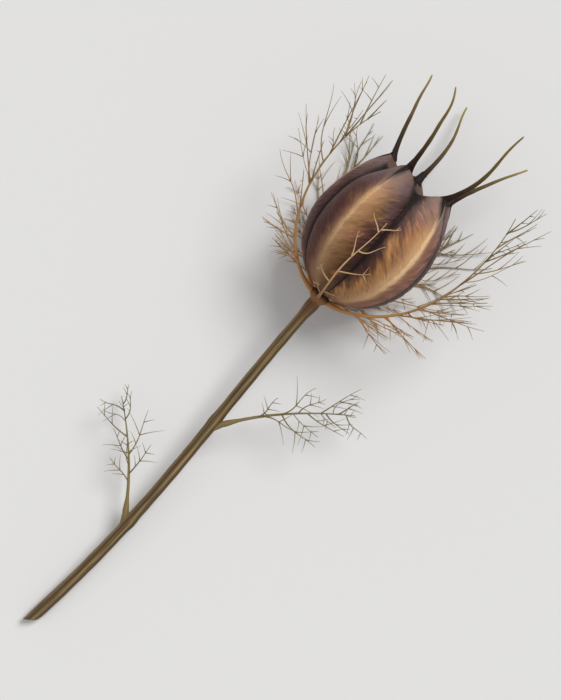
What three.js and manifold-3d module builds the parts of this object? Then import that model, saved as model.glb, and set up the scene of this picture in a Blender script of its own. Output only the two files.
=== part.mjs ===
// A dried nigella seed pod, cut with its stem and laid on its side: an inflated capsule of five
// carpels with a horn on each, a ruff of five thread-like bracts, and a stem with two thread-like leaves.
//
// Millimetres. Everything grows in the head's own frame: +Y runs from the capsule's foot to its crown and
// +Z is the side that faces up. The head is then tipped until the capsule's belly and the stem's cut end
// both lie on the surface z = 0, with the world's origin under the belly.

import * as THREE from "three";
import { mergeVertices } from "three/addons/utils/BufferGeometryUtils.js";
import Module from "manifold-3d";

const wasm = await Module();
wasm.setup();

const { degToRad, smoothstep, lerp, clamp } = THREE.MathUtils;

// Capsule
const CARPELS = 5;
const CARPEL_TURN = (2 * Math.PI) / CARPELS;
const CAPSULE_RADIUS = 13.2;
const CAPSULE_LENGTH = 29; // foot to the rim of the crown
const CAPSULE_WIDEST = 14.8; // foot to the widest ring
const RIM_RADIUS = 7.7;
const CREASE_AZIMUTH = degToRad(9); // one crease between carpels, from straight up towards +X
const CREASE_DEPTH = 0.9;
const CREASE_SHARPNESS = 1.5;
const CREASE_FADE = [0.05, 0.45]; // shares of the wall, from the foot up, over which the creases deepen
const RIB_HEIGHT = 0.45; // raised midrib of each carpel, towards its horn
const RIB_SHARPNESS = 24;
const RIB_FADE = [0.4, 0.95];
const RIM_LIFT = 1.4; // the rim rises under each horn and dips at each crease
const LIFT_FADE = [0.72, 1];
const CROWN_DIP = 1.6; // the middle of the crown lies this far below the rim
const CAPSULE_SIDES = 40;
const CAPSULE_RINGS = 24;
const WALL_SHARE = 0.86; // share of the rings on the outer wall, the rest on the crown
const REST_DEPTH = 0.3; // the belly is flattened by this much where it lies

// Horns, the dried styles
const HORN_LENGTHS = [18, 21.5]; // shortest and longest
const HORN_SPREADS = [6.5, 9.8]; // how far a tip leans out from its root
const HORN_WAVE = 1.2;
const HORN_INSET = 0.5; // root to the rim
const HORN_ROOT_RADIUS = 1.2;
const HORN_RADIUS = 0.6;
const HORN_TIP_RADIUS = 0.3;
const HORN_SUNK = 2.2; // length of the root inside the carpel

// Stem
const STEM_LENGTH = 90;
const STEM_RADIUS = 1.15;
const STEM_FOOT_RADIUS = 1.3;
const STEM_GROOVE = 0.12;
const STEM_BOW = 3; // sideways bend at the middle of the stem
const FOOT_SLANT = 1.2; // the cut end leans by this much across the stem
const COLLAR_RADIUS = 1.45; // swelling just under the bracts
const COLLAR_DROP = 3.2;
const COLLAR_WIDTH = 2;
const SLANT_LENGTH = 2;
const CLEARANCE = 0.35; // between pieces that meet

// Bracts: azimuth from straight up, how far round the capsule the midrib sweeps, and how far
// its tip stands off. The top one hugs the capsule and is bare of forks, and the lower pair is pushed
// aside by the surface.
const BRACTS = [
  { azimuth: 0, sweep: 104, standOff: 1.3, stations: 4, reach: 0.6, lift: 0.35, bare: true },
  { azimuth: 76, sweep: 138, standOff: 14, stations: 7, reach: 1, lift: 1, bare: false },
  { azimuth: 136, sweep: 118, standOff: 7, stations: 6, reach: 1, lift: 1, bare: false },
  { azimuth: -135, sweep: 118, standOff: 7, stations: 6, reach: 1, lift: 1, bare: false },
  { azimuth: -70, sweep: 140, standOff: 10, stations: 7, reach: 1, lift: 1, bare: false },
];
const BRACT_START = degToRad(9);
const BRACT_GAP = 1; // midrib to capsule at the foot
const BRACT_SECTOR = degToRad(25); // a bract's threads stay this close to its midrib
const RIB_RADIUS = 0.46;
const THREAD_RADIUS = 0.34;
const THREAD_TIP_RADIUS = 0.3;
const THREAD_LENGTH = 9.5;
const OUTER_THREAD_LENGTH = 9;
const THREAD_LENGTH_SHARES = [0.65, 1.35]; // shortest and longest over the plain length
const THREAD_LEANS = [0.55, 1.15]; // radians between a thread and its midrib
const THREAD_RISES = [0.3, 1.1]; // radians that a side thread is lifted outwards
const THREAD_CURL = 0.18;
const FORK_SHARE = 0.5; // length of a fork over the length of its thread
const FORK_SPREAD = 0.9;
const FORK_RISE = 0.2;
const FORKED_SHARE = 0.6; // side threads fork both ways up to this share of the midrib
const LAST_STATION = 0.93;
const STAGGER = 0.22; // the two sides' threads leave the midrib this far apart, in stations
const STATION_DRIFT = [-0.2, 0.2];

// Leaves of the stem: distance below the capsule, side of the stem and length along it
const LEAVES = [
  { below: 33, side: 1, length: 25, stations: 5 },
  { below: 60, side: -1, length: 22, stations: 4 },
];
const LEAF_DROOP = 3.5;
const LEAF_THREAD_LENGTH = 7.5;

const DRAW_SCALE = 43758.5453;
const DRAW_STEP = 12.9898;

// A repeatable number from 0 to 1 for each key.
function draw(key) {
  const value = Math.sin((key + 1) * DRAW_STEP) * DRAW_SCALE;
  return value - Math.floor(value);
}

function drawFrom([low, high], key) {
  return lerp(low, high, draw(key));
}

// The head lies on the capsule's belly and the stem's cut end.
const head = new THREE.Group();
head.rotation.x = Math.asin(
  (CAPSULE_RADIUS - STEM_FOOT_RADIUS - REST_DEPTH) / (STEM_LENGTH + CAPSULE_WIDEST),
);

// The plain outline of the capsule is two half ellipses that meet at the widest ring, and
// the upper one is cut off at the rim of the crown.
const UPPER_HALF =
  (CAPSULE_LENGTH - CAPSULE_WIDEST) / Math.sqrt(1 - (RIM_RADIUS / CAPSULE_RADIUS) ** 2);
const RIM_ANGLE = Math.PI - Math.asin(RIM_RADIUS / CAPSULE_RADIUS);

function outline(angle) {
  const half = angle < Math.PI / 2 ? CAPSULE_WIDEST : UPPER_HALF;
  return {
    along: CAPSULE_WIDEST - half * Math.cos(angle),
    out: CAPSULE_RADIUS * Math.sin(angle),
    normal: new THREE.Vector2(
      -CAPSULE_RADIUS * Math.cos(angle),
      half * Math.sin(angle),
    ).normalize(),
  };
}

// The point of the head's frame at a distance along the axis, out from it and round it.
function polar(along, out, azimuth) {
  return new THREE.Vector3(out * Math.sin(azimuth), along, out * Math.cos(azimuth));
}

// The capsule's surface: creases between the carpels, a rib up the middle of each, and
// a crown that rises to the horns and dips between them.
function capsulePoint(rise, azimuth) {
  const wall = Math.min(rise / WALL_SHARE, 1);
  const inward = Math.max((rise - WALL_SHARE) / (1 - WALL_SHARE), 0);
  const { along, out } = outline(wall * RIM_ANGLE);
  const turn = CARPELS * (azimuth - CREASE_AZIMUTH);
  const crease = (1 - Math.abs(Math.sin(turn / 2))) ** CREASE_SHARPNESS;
  const rib = Math.sin(turn / 2) ** RIB_SHARPNESS;
  const peak = -Math.cos(turn);
  const depth = (CREASE_DEPTH / CAPSULE_RADIUS) * smoothstep(wall, ...CREASE_FADE);
  const radius = out * (1 - depth * crease) + RIB_HEIGHT * rib * smoothstep(wall, ...RIB_FADE);
  const lift = RIM_LIFT * peak * smoothstep(wall, ...LIFT_FADE) * (1 - inward);
  const dip = CROWN_DIP * (1 - (1 - inward) ** 2);
  return polar(along + lift - dip, radius * (1 - inward), azimuth);
}

function capsuleGeometry() {
  const geometry = new THREE.SphereGeometry(1, CAPSULE_SIDES, CAPSULE_RINGS);
  const spots = geometry.getAttribute("position");
  const spot = new THREE.Vector3();
  for (let i = 0; i < spots.count; i++) {
    spot.fromBufferAttribute(spots, i).clampScalar(-1, 1);
    const rise = Math.acos(-spot.y) / Math.PI;
    spot.copy(capsulePoint(rise, Math.atan2(spot.x, spot.z)));
    spots.setXYZ(i, spot.x, spot.y, spot.z);
  }
  return geometry;
}

// A round rod bent along a curve, with its radius given at each share of its length.
function rodAlong(curve, radiusAt, sides, steps) {
  const geometry = new THREE.CylinderGeometry(1, 1, 1, sides, steps);
  const { normals, binormals } = curve.computeFrenetFrames(steps);
  const spots = geometry.getAttribute("position");
  for (let i = 0; i < spots.count; i++) {
    const share = spots.getY(i) + 0.5;
    const step = Math.round(share * steps);
    const radius = radiusAt(share, Math.atan2(spots.getX(i), spots.getZ(i)));
    const spot = curve
      .getPoint(share)
      .addScaledVector(binormals[step], spots.getX(i) * radius)
      .addScaledVector(normals[step], spots.getZ(i) * radius);
    spots.setXYZ(i, spot.x, spot.y, spot.z);
  }
  return geometry;
}

// A horn leaves the top of its carpel along the axis, swings out and waves towards its tip.
function hornGeometry(index) {
  const azimuth = CREASE_AZIMUTH + (index + 0.5) * CARPEL_TURN;
  const length = drawFrom(HORN_LENGTHS, index);
  const spread = drawFrom(HORN_SPREADS, index + 20);
  const wave = drawFrom([-HORN_WAVE, HORN_WAVE], index + 40);
  const shares = [0, 0.2, 0.45, 0.72, 1];
  const points = shares.map((share) => {
    const out = RIM_RADIUS - HORN_INSET + spread * share ** 1.25 + wave * Math.sin(5 * share);
    const along = CAPSULE_LENGTH + RIM_LIFT - HORN_SUNK + length * share;
    const point = polar(along, out, azimuth + 0.12 * wave * Math.sin(4 * share));
    return liftOffSurface(point, HORN_RADIUS);
  });
  const radiusAt = (share) =>
    lerp(HORN_RADIUS, HORN_TIP_RADIUS, share) +
    (HORN_ROOT_RADIUS - HORN_RADIUS) * (1 - smoothstep(share, 0.05, 0.3));
  return rodAlong(new THREE.CatmullRomCurve3(points), radiusAt, 6, 9);
}

// The stem runs back from the capsule's foot with a slight bow, a collar under the bracts,
// shallow grooves and a slanting cut at the far end.
function stemPoint(below) {
  const share = below / STEM_LENGTH;
  return new THREE.Vector3(STEM_BOW * Math.sin(Math.PI * share) * share, -below, 0);
}

function stemGeometry() {
  const steps = 26;
  const points = [];
  for (let i = 0; i <= steps; i++) points.push(stemPoint(lerp(STEM_LENGTH, CLEARANCE, i / steps)));
  const radiusAt = (share, around) => {
    const below = STEM_LENGTH * (1 - share);
    const collar = (COLLAR_RADIUS - STEM_RADIUS) * Math.exp(-(((below - COLLAR_DROP) / COLLAR_WIDTH) ** 2));
    const plain = lerp(STEM_FOOT_RADIUS, STEM_RADIUS, share) + collar;
    return plain - STEM_GROOVE * (0.5 - 0.5 * Math.cos(CARPELS * around));
  };
  const geometry = rodAlong(new THREE.CatmullRomCurve3(points), radiusAt, 10, steps);
  const spots = geometry.getAttribute("position");
  for (let i = 0; i < spots.count; i++) {
    const atFoot = smoothstep(-spots.getY(i), STEM_LENGTH - SLANT_LENGTH, STEM_LENGTH);
    spots.setY(i, spots.getY(i) + (atFoot * FOOT_SLANT * spots.getX(i)) / STEM_FOOT_RADIUS);
  }
  return geometry;
}

// What would sink into the surface is bent up until it lies on it.
function liftOffSurface(point, clear) {
  const softness = 0.35;
  head.localToWorld(point);
  point.z = clear + softness * Math.log1p(Math.exp((point.z - clear) / softness));
  return head.worldToLocal(point);
}

// Threads that would cross a neighbouring bract are bent back towards their own midrib.
function keepInSector(point, azimuth) {
  const out = Math.hypot(point.x, point.z);
  const away = Math.atan2(point.x, point.z) - azimuth;
  const turn = Math.atan2(Math.sin(away), Math.cos(away));
  return polar(point.y, out, azimuth + BRACT_SECTOR * Math.tanh(turn / BRACT_SECTOR));
}

function solidOf(geometry) {
  geometry.deleteAttribute("normal");
  geometry.deleteAttribute("uv");
  const merged = mergeVertices(geometry, 1e-4);
  return new wasm.Manifold(
    new wasm.Mesh({
      numProp: 3,
      vertProperties: merged.getAttribute("position").array,
      triVerts: new Uint32Array(merged.index.array),
    }),
  );
}

function fuse(geometries) {
  const { vertProperties, triVerts } = wasm.Manifold.union(geometries.map(solidOf)).getMesh();
  const geometry = new THREE.BufferGeometry();
  geometry.setAttribute("position", new THREE.BufferAttribute(vertProperties, 3));
  geometry.setIndex(new THREE.BufferAttribute(triVerts, 1));
  geometry.computeVertexNormals();
  return geometry;
}

// One thread from a root, in a direction, curving forwards, with shorter threads forking off its middle.
function thread({ root, direction, forward, outward, length, settle, forkSides }) {
  const at = (share) =>
    root
      .clone()
      .addScaledVector(direction, length * share)
      .addScaledVector(forward, THREAD_CURL * length * share * share);
  const through = (points) => new THREE.CatmullRomCurve3(points.map(settle));
  const radiusAt = (share) => lerp(THREAD_RADIUS, THREAD_TIP_RADIUS, share);
  const rods = [rodAlong(through([at(0), at(0.5), at(1)]), radiusAt, 3, 2)];
  const across = new THREE.Vector3().crossVectors(direction, outward).normalize();
  for (const side of forkSides) {
    const way = direction
      .clone()
      .addScaledVector(across, FORK_SPREAD * side)
      .addScaledVector(outward, FORK_RISE)
      .normalize();
    const tip = at(0.5).addScaledVector(way, FORK_SHARE * length);
    rods.push(rodAlong(through([at(0.5), tip]), radiusAt, 3, 1));
  }
  return rods;
}

// A frond is a midrib with staggered pairs of forked side threads, and every other pair has a third
// thread that stands outwards. The rib ends in a thread of its own.
function frondGeometry({ rib, outwardAt, stations, first, lengthAt, settle, seed, lift, bare, outer }) {
  const settled = new THREE.CatmullRomCurve3(rib.getSpacedPoints(12).map((p) => settle(p.clone())));
  const ribRadius = (share) => lerp(RIB_RADIUS, THREAD_TIP_RADIUS, share);
  const rods = [rodAlong(settled, ribRadius, 4, 12)];
  for (let i = 0; i < stations; i++) {
    const ways = i % 2 && outer ? [-1, 1, 0] : [-1, 1];
    for (const side of ways) {
      const key = seed + 7 * i + 3 * side;
      const station = i + STAGGER * side + drawFrom(STATION_DRIFT, key + 1500);
      const share = lerp(first, LAST_STATION, clamp(station / (stations - 1), 0, 1));
      const root = rib.getPointAt(share);
      const forward = rib.getTangentAt(share);
      const outward = outwardAt(root);
      const across = new THREE.Vector3().crossVectors(forward, outward).normalize();
      const lean = drawFrom(THREAD_LEANS, key);
      const rise = side ? lift * drawFrom(THREAD_RISES, key + 500) : Math.PI / 2;
      const direction = forward
        .clone()
        .multiplyScalar(Math.cos(lean))
        .addScaledVector(across, side * Math.sin(lean) * Math.cos(rise))
        .addScaledVector(outward, Math.sin(lean) * Math.sin(rise));
      const length = lengthAt(share, side) * drawFrom(THREAD_LENGTH_SHARES, key + 900);
      const oneSide = draw(key + 1300) < 0.5 ? [-1] : [1];
      const sideForks = share < FORKED_SHARE ? [-1, 1] : oneSide;
      const forkSides = side && !bare ? sideForks : [];
      rods.push(...thread({ root, direction, forward, outward, length, settle, forkSides }));
    }
  }
  return fuse(rods);
}

// A bract's midrib follows the capsule's outline from the foot, standing further off as it goes.
function bractGeometry({ azimuth, sweep, standOff, stations, reach, lift, bare }, index) {
  const turn = degToRad(azimuth);
  const points = [];
  const steps = 8;
  for (let i = 0; i <= steps; i++) {
    const share = i / steps;
    const { along, out, normal } = outline(lerp(BRACT_START, degToRad(sweep), share));
    const gap = lerp(BRACT_GAP, standOff, share ** 2.2);
    points.push(polar(along + gap * normal.x, out + gap * normal.y, turn));
  }
  const outwardAt = (point) =>
    new THREE.Vector3(point.x, point.y - CAPSULE_WIDEST, point.z).normalize();
  return frondGeometry({
    rib: new THREE.CatmullRomCurve3(points),
    outwardAt,
    stations,
    first: 0.13,
    lengthAt: (share, side) =>
      (side ? THREAD_LENGTH : OUTER_THREAD_LENGTH) * reach * (0.55 + 0.65 * Math.sin(Math.PI * share)),
    settle: (point) => liftOffSurface(keepInSector(point, turn), THREAD_RADIUS),
    seed: 100 * (index + 1),
    lift,
    bare,
    outer: !bare,
  });
}

// A stem leaf leaves the stem at a slant towards the head and droops to the surface.
function leafGeometry({ below, side, length, stations }, index) {
  const root = stemPoint(below);
  root.x += side * (STEM_RADIUS + RIB_RADIUS + CLEARANCE);
  const points = [0, 0.35, 0.7, 1].map((share) =>
    root
      .clone()
      .add(
        new THREE.Vector3(
          side * length * (0.55 * share + 0.2 * share * share),
          length * (0.85 * share - 0.1 * share * share),
          -LEAF_DROOP * share * share,
        ),
      ),
  );
  const up = new THREE.Vector3(0, 0, 1);
  return frondGeometry({
    rib: new THREE.CatmullRomCurve3(points),
    outwardAt: () => up,
    stations,
    first: 0.25,
    lengthAt: (share) => LEAF_THREAD_LENGTH * (0.6 + 0.6 * Math.sin(Math.PI * share)),
    settle: (point) => liftOffSurface(point, THREAD_RADIUS),
    seed: 1000 * (index + 1),
    lift: 1,
    bare: false,
    outer: false,
  });
}

function dryPlant(name, geometry, color, roughness) {
  const mesh = new THREE.Mesh(
    geometry,
    new THREE.MeshStandardMaterial({ color, roughness, metalness: 0 }),
  );
  mesh.name = name;
  return mesh;
}

// The belly is pressed flat on the surface.
function flattenBelly(geometry) {
  const spots = geometry.getAttribute("position");
  const spot = new THREE.Vector3();
  for (let i = 0; i < spots.count; i++) {
    head.localToWorld(spot.fromBufferAttribute(spots, i));
    spot.z = Math.max(spot.z, 0);
    head.worldToLocal(spot);
    spots.setXYZ(i, spot.x, spot.y, spot.z);
  }
  return geometry;
}

// Sets the head's height and place so that the belly's lowest point is over the origin.
function seatHead(capsule) {
  head.updateMatrixWorld(true);
  const spots = capsule.getAttribute("position");
  const lowest = new THREE.Vector3(0, 0, Infinity);
  const spot = new THREE.Vector3();
  for (let i = 0; i < spots.count; i++) {
    head.localToWorld(spot.fromBufferAttribute(spots, i));
    if (spot.z < lowest.z) lowest.copy(spot);
  }
  head.position.set(0, -lowest.y, -lowest.z - REST_DEPTH);
  head.updateMatrixWorld(true);
}

const capsule = capsuleGeometry();
seatHead(capsule);
flattenBelly(capsule);

const horns = Array.from({ length: CARPELS }, (_, index) => hornGeometry(index));
head.add(dryPlant("capsule", fuse([capsule, ...horns]), 0x7d5138, 0.6));
head.add(dryPlant("stem", fuse([stemGeometry()]), 0x7a6a48, 0.75));
BRACTS.forEach((bract, index) =>
  head.add(dryPlant(`bract_${index + 1}`, bractGeometry(bract, index), 0xa98352, 0.8)),
);
LEAVES.forEach((leaf, index) =>
  head.add(dryPlant(`leaf_${index + 1}`, leafGeometry(leaf, index), 0x837850, 0.8)),
);

const nigella = new THREE.Group();
nigella.add(head);

export default nigella;
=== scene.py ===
# A dried nigella seed pod on its cut stem, lying on its side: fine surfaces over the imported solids.

import math

import bpy
import numpy as np
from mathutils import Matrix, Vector


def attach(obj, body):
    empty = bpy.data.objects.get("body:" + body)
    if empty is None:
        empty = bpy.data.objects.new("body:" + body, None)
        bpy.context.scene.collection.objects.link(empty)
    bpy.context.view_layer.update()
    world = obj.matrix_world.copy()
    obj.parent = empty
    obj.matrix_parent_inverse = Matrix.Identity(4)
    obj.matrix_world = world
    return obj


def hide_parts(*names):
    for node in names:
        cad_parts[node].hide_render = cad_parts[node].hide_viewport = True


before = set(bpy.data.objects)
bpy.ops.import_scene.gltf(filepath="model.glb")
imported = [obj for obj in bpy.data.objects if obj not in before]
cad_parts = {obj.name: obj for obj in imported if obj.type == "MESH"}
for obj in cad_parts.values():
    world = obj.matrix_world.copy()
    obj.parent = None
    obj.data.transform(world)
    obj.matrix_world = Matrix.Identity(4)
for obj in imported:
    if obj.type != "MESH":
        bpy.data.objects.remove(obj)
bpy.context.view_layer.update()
print("frame:", ", ".join(sorted(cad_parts)))

metre = 0.001  # everything below grows in millimetres


# repeatable numbers from 0 to 1: what is left of a large sine after its whole part
def draw(key):
    value = np.sin((np.asarray(key, float) + 1) * 12.9898) * 43758.5453
    return value - np.floor(value)


def drawFrom(span, key):
    return span[0] + (span[1] - span[0]) * draw(key)


def smooth(value, low, high):
    share = np.clip((value - low) / (high - low), 0, 1)
    return share * share * (3 - 2 * share)


def unit(vectors):
    return vectors / np.linalg.norm(vectors, axis=-1, keepdims=True)


# soft unevenness from about -1 to 1: crossing sine waves of that size
def ripple(points, size, key):
    waves = np.arange(7) + 10 * key
    ways = unit(np.stack([draw(waves), draw(waves + 1000), draw(waves + 2000)], -1) - 0.5)
    angle = points @ (ways.T * 2 * np.pi / size) + 2 * np.pi * draw(waves + 3000)
    return 2 * np.sin(angle).mean(-1)


# The head's own frame: y runs from the pod's foot to its crown, z is the side that faces up,
# and azimuth is counted from z towards x.
pod = {
    "carpels": 5,
    "radius": 13.2,
    "length": 29.0,
    "widest": 14.8,
    "rim": 7.7,
    "creaseAt": math.radians(9),
    "creaseDepth": 0.9,
    "creaseSharpness": 1.5,
    "creaseGrows": (0.05, 0.45),
    "ribHeight": 0.45,
    "ribSharpness": 24,
    "ribGrows": (0.4, 0.95),
    "rimLift": 1.4,
    "rimGrows": (0.72, 1.0),
    "crownDip": 1.6,
    "wallShare": 0.86,
    "restDepth": 0.3,
}
stem = {
    "length": 90.0,
    "radius": 1.15,
    "footRadius": 1.3,
    "bow": 3.0,
    "slant": 1.2,
    "slantLength": 2.0,
    "collar": 0.3,
    "collarDrop": 3.2,
    "collarLength": 2.0,
    "swell": 0.16,
    "swellDrop": 1.0,
    "swellLength": 1.3,
    "unevenness": 0.03,
    "waves": (0.9, 0.37),
    "ribs": 5,
    "groove": 0.12,
    "fineGroove": 0.025,
    "top": 0.5,
    "cutSpan": (0.06, 0.98),
    "cutDish": 0.1,
    "pithDepth": 0.5,
    "pithEdge": (0.45, 0.2),
    "ringGaps": (0.01, 0.001),
    "steps": 420,
    "cutRows": 14,
    "sides": 40,
}
carpelTurn = 2 * math.pi / pod["carpels"]
rimAngle = math.pi - math.asin(pod["rim"] / pod["radius"])
upperHalf = (pod["length"] - pod["widest"]) / math.sqrt(1 - (pod["rim"] / pod["radius"]) ** 2)


# two half ellipses that meet at the widest ring, and the way square to them
def outline(angle):
    half = np.where(angle < np.pi / 2, pod["widest"], upperHalf)
    along = pod["widest"] - half * np.cos(angle)
    out = pod["radius"] * np.sin(angle)
    normal = unit(np.stack([-pod["radius"] * np.cos(angle), half * np.sin(angle)], -1))
    return along, out, normal


def polar(along, out, azimuth):
    return np.stack(np.broadcast_arrays(out * np.sin(azimuth), along, out * np.cos(azimuth)), -1)


# 0 at a crease and 1 at a ridge, the side of the crease, and the panel's number
def seamOf(azimuth):
    turn = pod["carpels"] * (azimuth - pod["creaseAt"])
    away = (turn + np.pi) % (2 * np.pi) - np.pi
    return np.abs(away) / np.pi, np.sign(away), np.round((turn - away) / (2 * np.pi)) % pod["carpels"]


# The plain pod: the outline turned round its axis, drawn in at the creases, raised in a rib up each
# carpel, with a rim that rises to the horns and a crown that dips. "grown" is added to its radius.
def podPoint(rise, azimuth, grown=0.0):
    wall = np.minimum(rise / pod["wallShare"], 1)
    inward = np.maximum((rise - pod["wallShare"]) / (1 - pod["wallShare"]), 0)
    along, out, _ = outline(wall * rimAngle)
    bend = np.sin(pod["carpels"] * (azimuth - pod["creaseAt"]) / 2)
    crease = (1 - np.abs(bend)) ** pod["creaseSharpness"]
    depth = pod["creaseDepth"] / pod["radius"] * smooth(wall, *pod["creaseGrows"])
    rib = pod["ribHeight"] * bend ** pod["ribSharpness"] * smooth(wall, *pod["ribGrows"])
    radius = out * (1 - depth * crease) + rib
    lift = pod["rimLift"] * (2 * bend**2 - 1) * smooth(wall, *pod["rimGrows"]) * (1 - inward)
    dip = pod["crownDip"] * (1 - (1 - inward) ** 2)
    return polar(along + lift - dip, (radius + grown) * (1 - inward), azimuth)


# The head is tipped until the belly and the stem's cut end both lie on the surface.
headRise = pod["radius"] - stem["footRadius"] - pod["restDepth"]
tilt = math.asin(headRise / (stem["length"] + pod["widest"]))
tip = np.array([[1, 0, 0], [0, math.cos(tilt), math.sin(tilt)], [0, -math.sin(tilt), math.cos(tilt)]])
coarsePod = podPoint(np.linspace(0, 1, 25)[:, None], np.radians(np.arange(0, 360, 9))[None]) @ tip
lowest = coarsePod.reshape(-1, 3)[coarsePod[..., 2].argmin()]
seat = np.array([0, -lowest[1], -lowest[2] - pod["restDepth"]])


def lay(points):
    return points @ tip + seat


# what would sink into the surface is bent up until it lies on it
def liftOff(points, clear, softness=0.35):
    laid = lay(points)
    laid[..., 2] = clear + softness * np.logaddexp(0, (laid[..., 2] - clear) / softness)
    return (laid - seat) @ tip.T


# Rings are arrays of tubes, rows, sides and xyz. Quads join neighbouring rings, and the end rings
# close on their middles.
def loft(rings):
    tubes, rows, sides, _ = rings.shape
    index = np.arange(tubes * rows * sides).reshape(tubes, rows, sides)
    beside = np.roll(index, -1, axis=2)
    quads = np.stack([index[:, :-1], beside[:, :-1], beside[:, 1:], index[:, 1:]], -1)
    first = np.broadcast_to(index.size + np.arange(tubes)[:, None], (tubes, sides))
    startFan = np.stack([first, beside[:, 0], index[:, 0]], -1)
    endFan = np.stack([first + tubes, index[:, -1], beside[:, -1]], -1)
    spots = np.concatenate([rings.reshape(-1, 3), rings[:, 0].mean(1), rings[:, -1].mean(1)])
    return spots, quads.reshape(-1, 4), np.concatenate([startFan, endFan]).reshape(-1, 3)


# one value for each vertex of a loft, from values for each row or for each row and side
def spread(values, rings):
    full = np.broadcast_to(values, rings.shape[:3])
    return np.concatenate([full.ravel(), full[:, 0].mean(-1), full[:, -1].mean(-1)])


# a ring square to each path at each of its points, with a radius for each point and side
def tubeRings(paths, radii, sides, across=None):
    along = unit(np.gradient(paths, axis=1))
    if across is None:
        across = np.eye(3)[np.abs(along.mean(1)).argmin(-1)][:, None]
    across = unit(across - (across * along).sum(-1, keepdims=True) * along)
    beside = np.cross(along, across)
    turn = 2 * np.pi * np.arange(sides)[:, None] / sides
    ring = across[:, :, None] * np.cos(turn) + beside[:, :, None] * np.sin(turn)
    return paths[:, :, None] + radii[..., None] * ring


allSpots = []


# one mesh object from several lofts and the fields that its finish reads
def makePiece(name, lofts, finish, slot, *replaced):
    spots, quads, tris, fields, count = [], [], [], {}, 0
    for rings, values in lofts:
        ends, sides4, sides3 = loft(lay(rings))
        spots.append(ends)
        quads.append(sides4 + count)
        tris.append(sides3 + count)
        for key, value in values.items():
            fields.setdefault(key, []).append(spread(value, rings))
        count += len(ends)
    spots = np.concatenate(spots) * metre
    spots[:, 2] = np.maximum(spots[:, 2], 0)
    quads, tris = np.concatenate(quads), np.concatenate(tris)
    corners = np.concatenate([quads.ravel(), tris.ravel()])
    starts = np.concatenate([np.arange(len(quads)) * 4, quads.size + np.arange(len(tris)) * 3])
    mesh = bpy.data.meshes.new(name)
    mesh.vertices.add(len(spots))
    mesh.vertices.foreach_set("co", spots.ravel())
    mesh.loops.add(len(corners))
    mesh.loops.foreach_set("vertex_index", corners.astype(np.int32))
    mesh.polygons.add(len(starts))
    mesh.polygons.foreach_set("loop_start", starts.astype(np.int32))
    mesh.polygons.foreach_set("use_smooth", np.ones(len(starts), bool))
    mesh.update(calc_edges=True)
    for key, values in fields.items():
        attribute = mesh.attributes.new(key, "FLOAT", "POINT")
        attribute.data.foreach_set("value", np.concatenate(values).astype(np.float32))
    mesh.materials.append(finish)
    piece = bpy.data.objects.new(name, mesh)
    bpy.context.scene.collection.objects.link(piece)
    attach(piece, "root")
    if replaced:
        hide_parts(*replaced)
    allSpots.append(spots)
    print(f"{name}: {2 * len(quads) + len(tris)} triangles")


# A socket of one material. Arithmetic on it adds Math nodes to the same tree.
class Wire:
    def __init__(self, tree, socket=None):
        self.tree = tree
        self.socket = socket

    def node(self, kind, settings=None, inputs=None, out=0):
        made = self.tree.nodes.new(kind)
        for key, value in (settings or {}).items():
            if key == "stops":
                self.setStops(made.color_ramp.elements, value)
            else:
                setattr(made, key, value)
        for key, value in (inputs or {}).items():
            if isinstance(value, Wire):
                self.tree.links.new(value.socket, made.inputs[key])
            else:
                made.inputs[key].default_value = value
        return Wire(self.tree, made.outputs[out]) if made.outputs else None

    def setStops(self, elements, stops):
        while len(elements) < len(stops):
            elements.new(1.0)
        for element, (place, colour) in zip(elements, stops):
            element.position = place
            element.color = colour

    def math(self, operation, *values):
        return self.node("ShaderNodeMath", {"operation": operation}, dict(enumerate(values)))

    def __add__(self, other):
        return self.math("ADD", self, other)

    def __radd__(self, other):
        return self.math("ADD", other, self)

    def __sub__(self, other):
        return self.math("SUBTRACT", self, other)

    def __rsub__(self, other):
        return self.math("SUBTRACT", other, self)

    def __mul__(self, other):
        return self.math("MULTIPLY", self, other)

    def __rmul__(self, other):
        return self.math("MULTIPLY", other, self)

    # 0 below low and 1 above high, and the other way round where low is the larger
    def step(self, low, high):
        ends = {"Value": self, "From Min": low, "From Max": high}
        return self.node("ShaderNodeMapRange", {"interpolation_type": "SMOOTHSTEP"}, ends)

    def field(self, name):
        return self.node("ShaderNodeAttribute", {"attribute_name": name}, out="Fac")

    def place(self):
        return self.node("ShaderNodeTexCoord", out="Object")

    def vector(self, x, y, z):
        return self.node("ShaderNodeCombineXYZ", inputs={0: x, 1: y, 2: z})

    def noise(self, vector, scale, detail=3.0, roughness=0.55):
        inputs = {"Vector": vector, "Scale": scale, "Detail": detail, "Roughness": roughness}
        return self.node("ShaderNodeTexNoise", inputs=inputs)

    # the second colour laid over the first by a share
    def blend(self, share, under, over):
        return self.node("ShaderNodeMix", {"data_type": "RGBA"}, {0: share, 6: under, 7: over}, out=2)

    def bump(self, height, strength, distance):
        inputs = {"Height": height, "Strength": strength, "Distance": distance}
        return self.node("ShaderNodeBump", inputs=inputs)


# a colour from its 0 to 255 values on a screen
def tone(red, green, blue):
    shares = np.array([red, green, blue]) / 255
    linear = np.where(shares <= 0.04045, shares / 12.92, ((shares + 0.055) / 1.055) ** 2.4)
    return (*linear.tolist(), 1.0)


def newFinish(name):
    material = bpy.data.materials.new(name)
    material.use_nodes = True
    material.node_tree.nodes.clear()
    return material, Wire(material.node_tree)


def closeFinish(wire, sockets):
    skin = wire.node("ShaderNodeBsdfPrincipled", inputs=sockets)
    wire.node("ShaderNodeOutputMaterial", inputs={"Surface": skin})


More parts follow.
